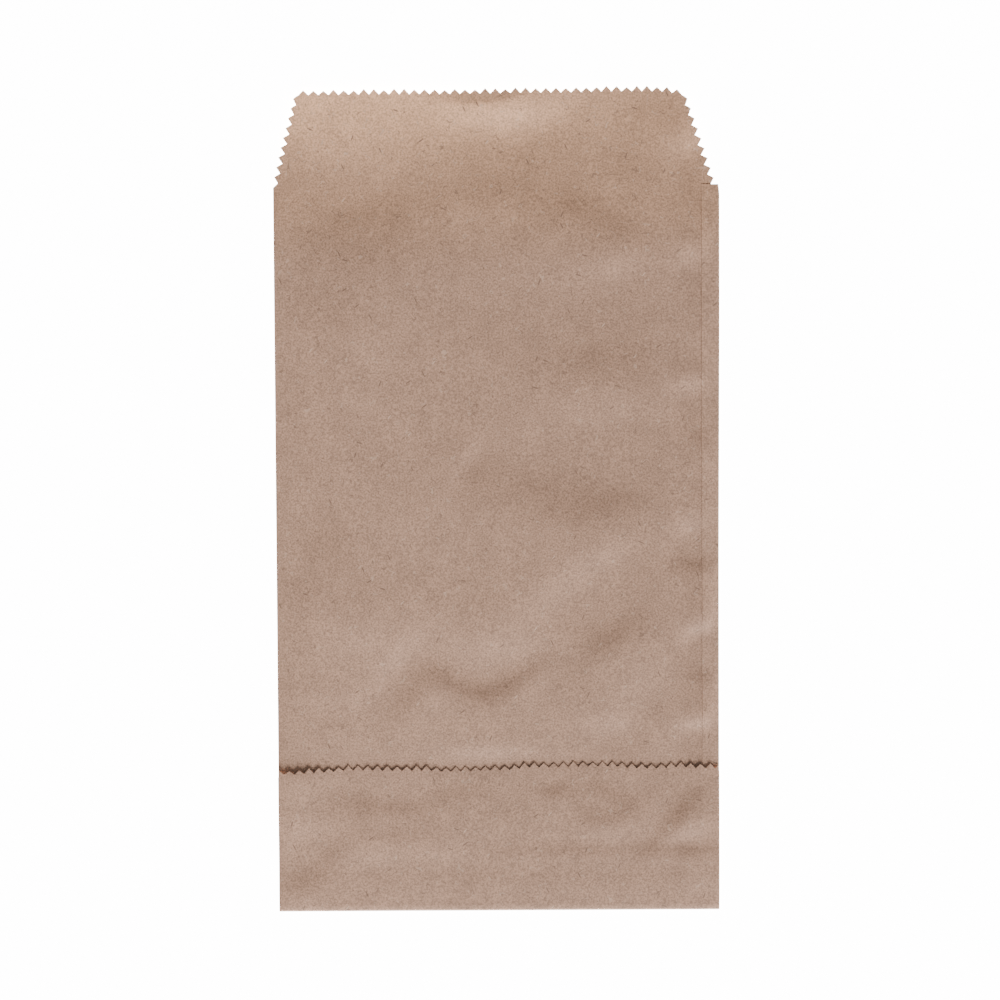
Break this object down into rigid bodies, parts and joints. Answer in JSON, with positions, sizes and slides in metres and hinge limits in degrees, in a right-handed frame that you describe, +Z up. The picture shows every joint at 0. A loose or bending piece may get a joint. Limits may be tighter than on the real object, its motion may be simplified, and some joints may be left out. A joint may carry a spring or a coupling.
{
  "type": "paper bag",
  "caption": "Flat kraft paper bag with a toothed, tapered lip at its mouth, a glued side seam and a bottom end folded up over the front.",
  "frame": {"origin": "centre of the bag's bounding box in X and Y, on the plane the back panel lies on", "axes": "+X to the right across the bag seen from the front, +Y from the bottom fold to the lip, +Z up out of the front, with the bag lying on its back"},
  "size_m": [0.13, 0.241, 0.0039],
  "materials": {
    "kraft_paper": "matt uncoated brown kraft paper"
  },
  "bodies": {
    "root": {"paper_bag": "kraft_paper"}
  },
  "joints": []
}
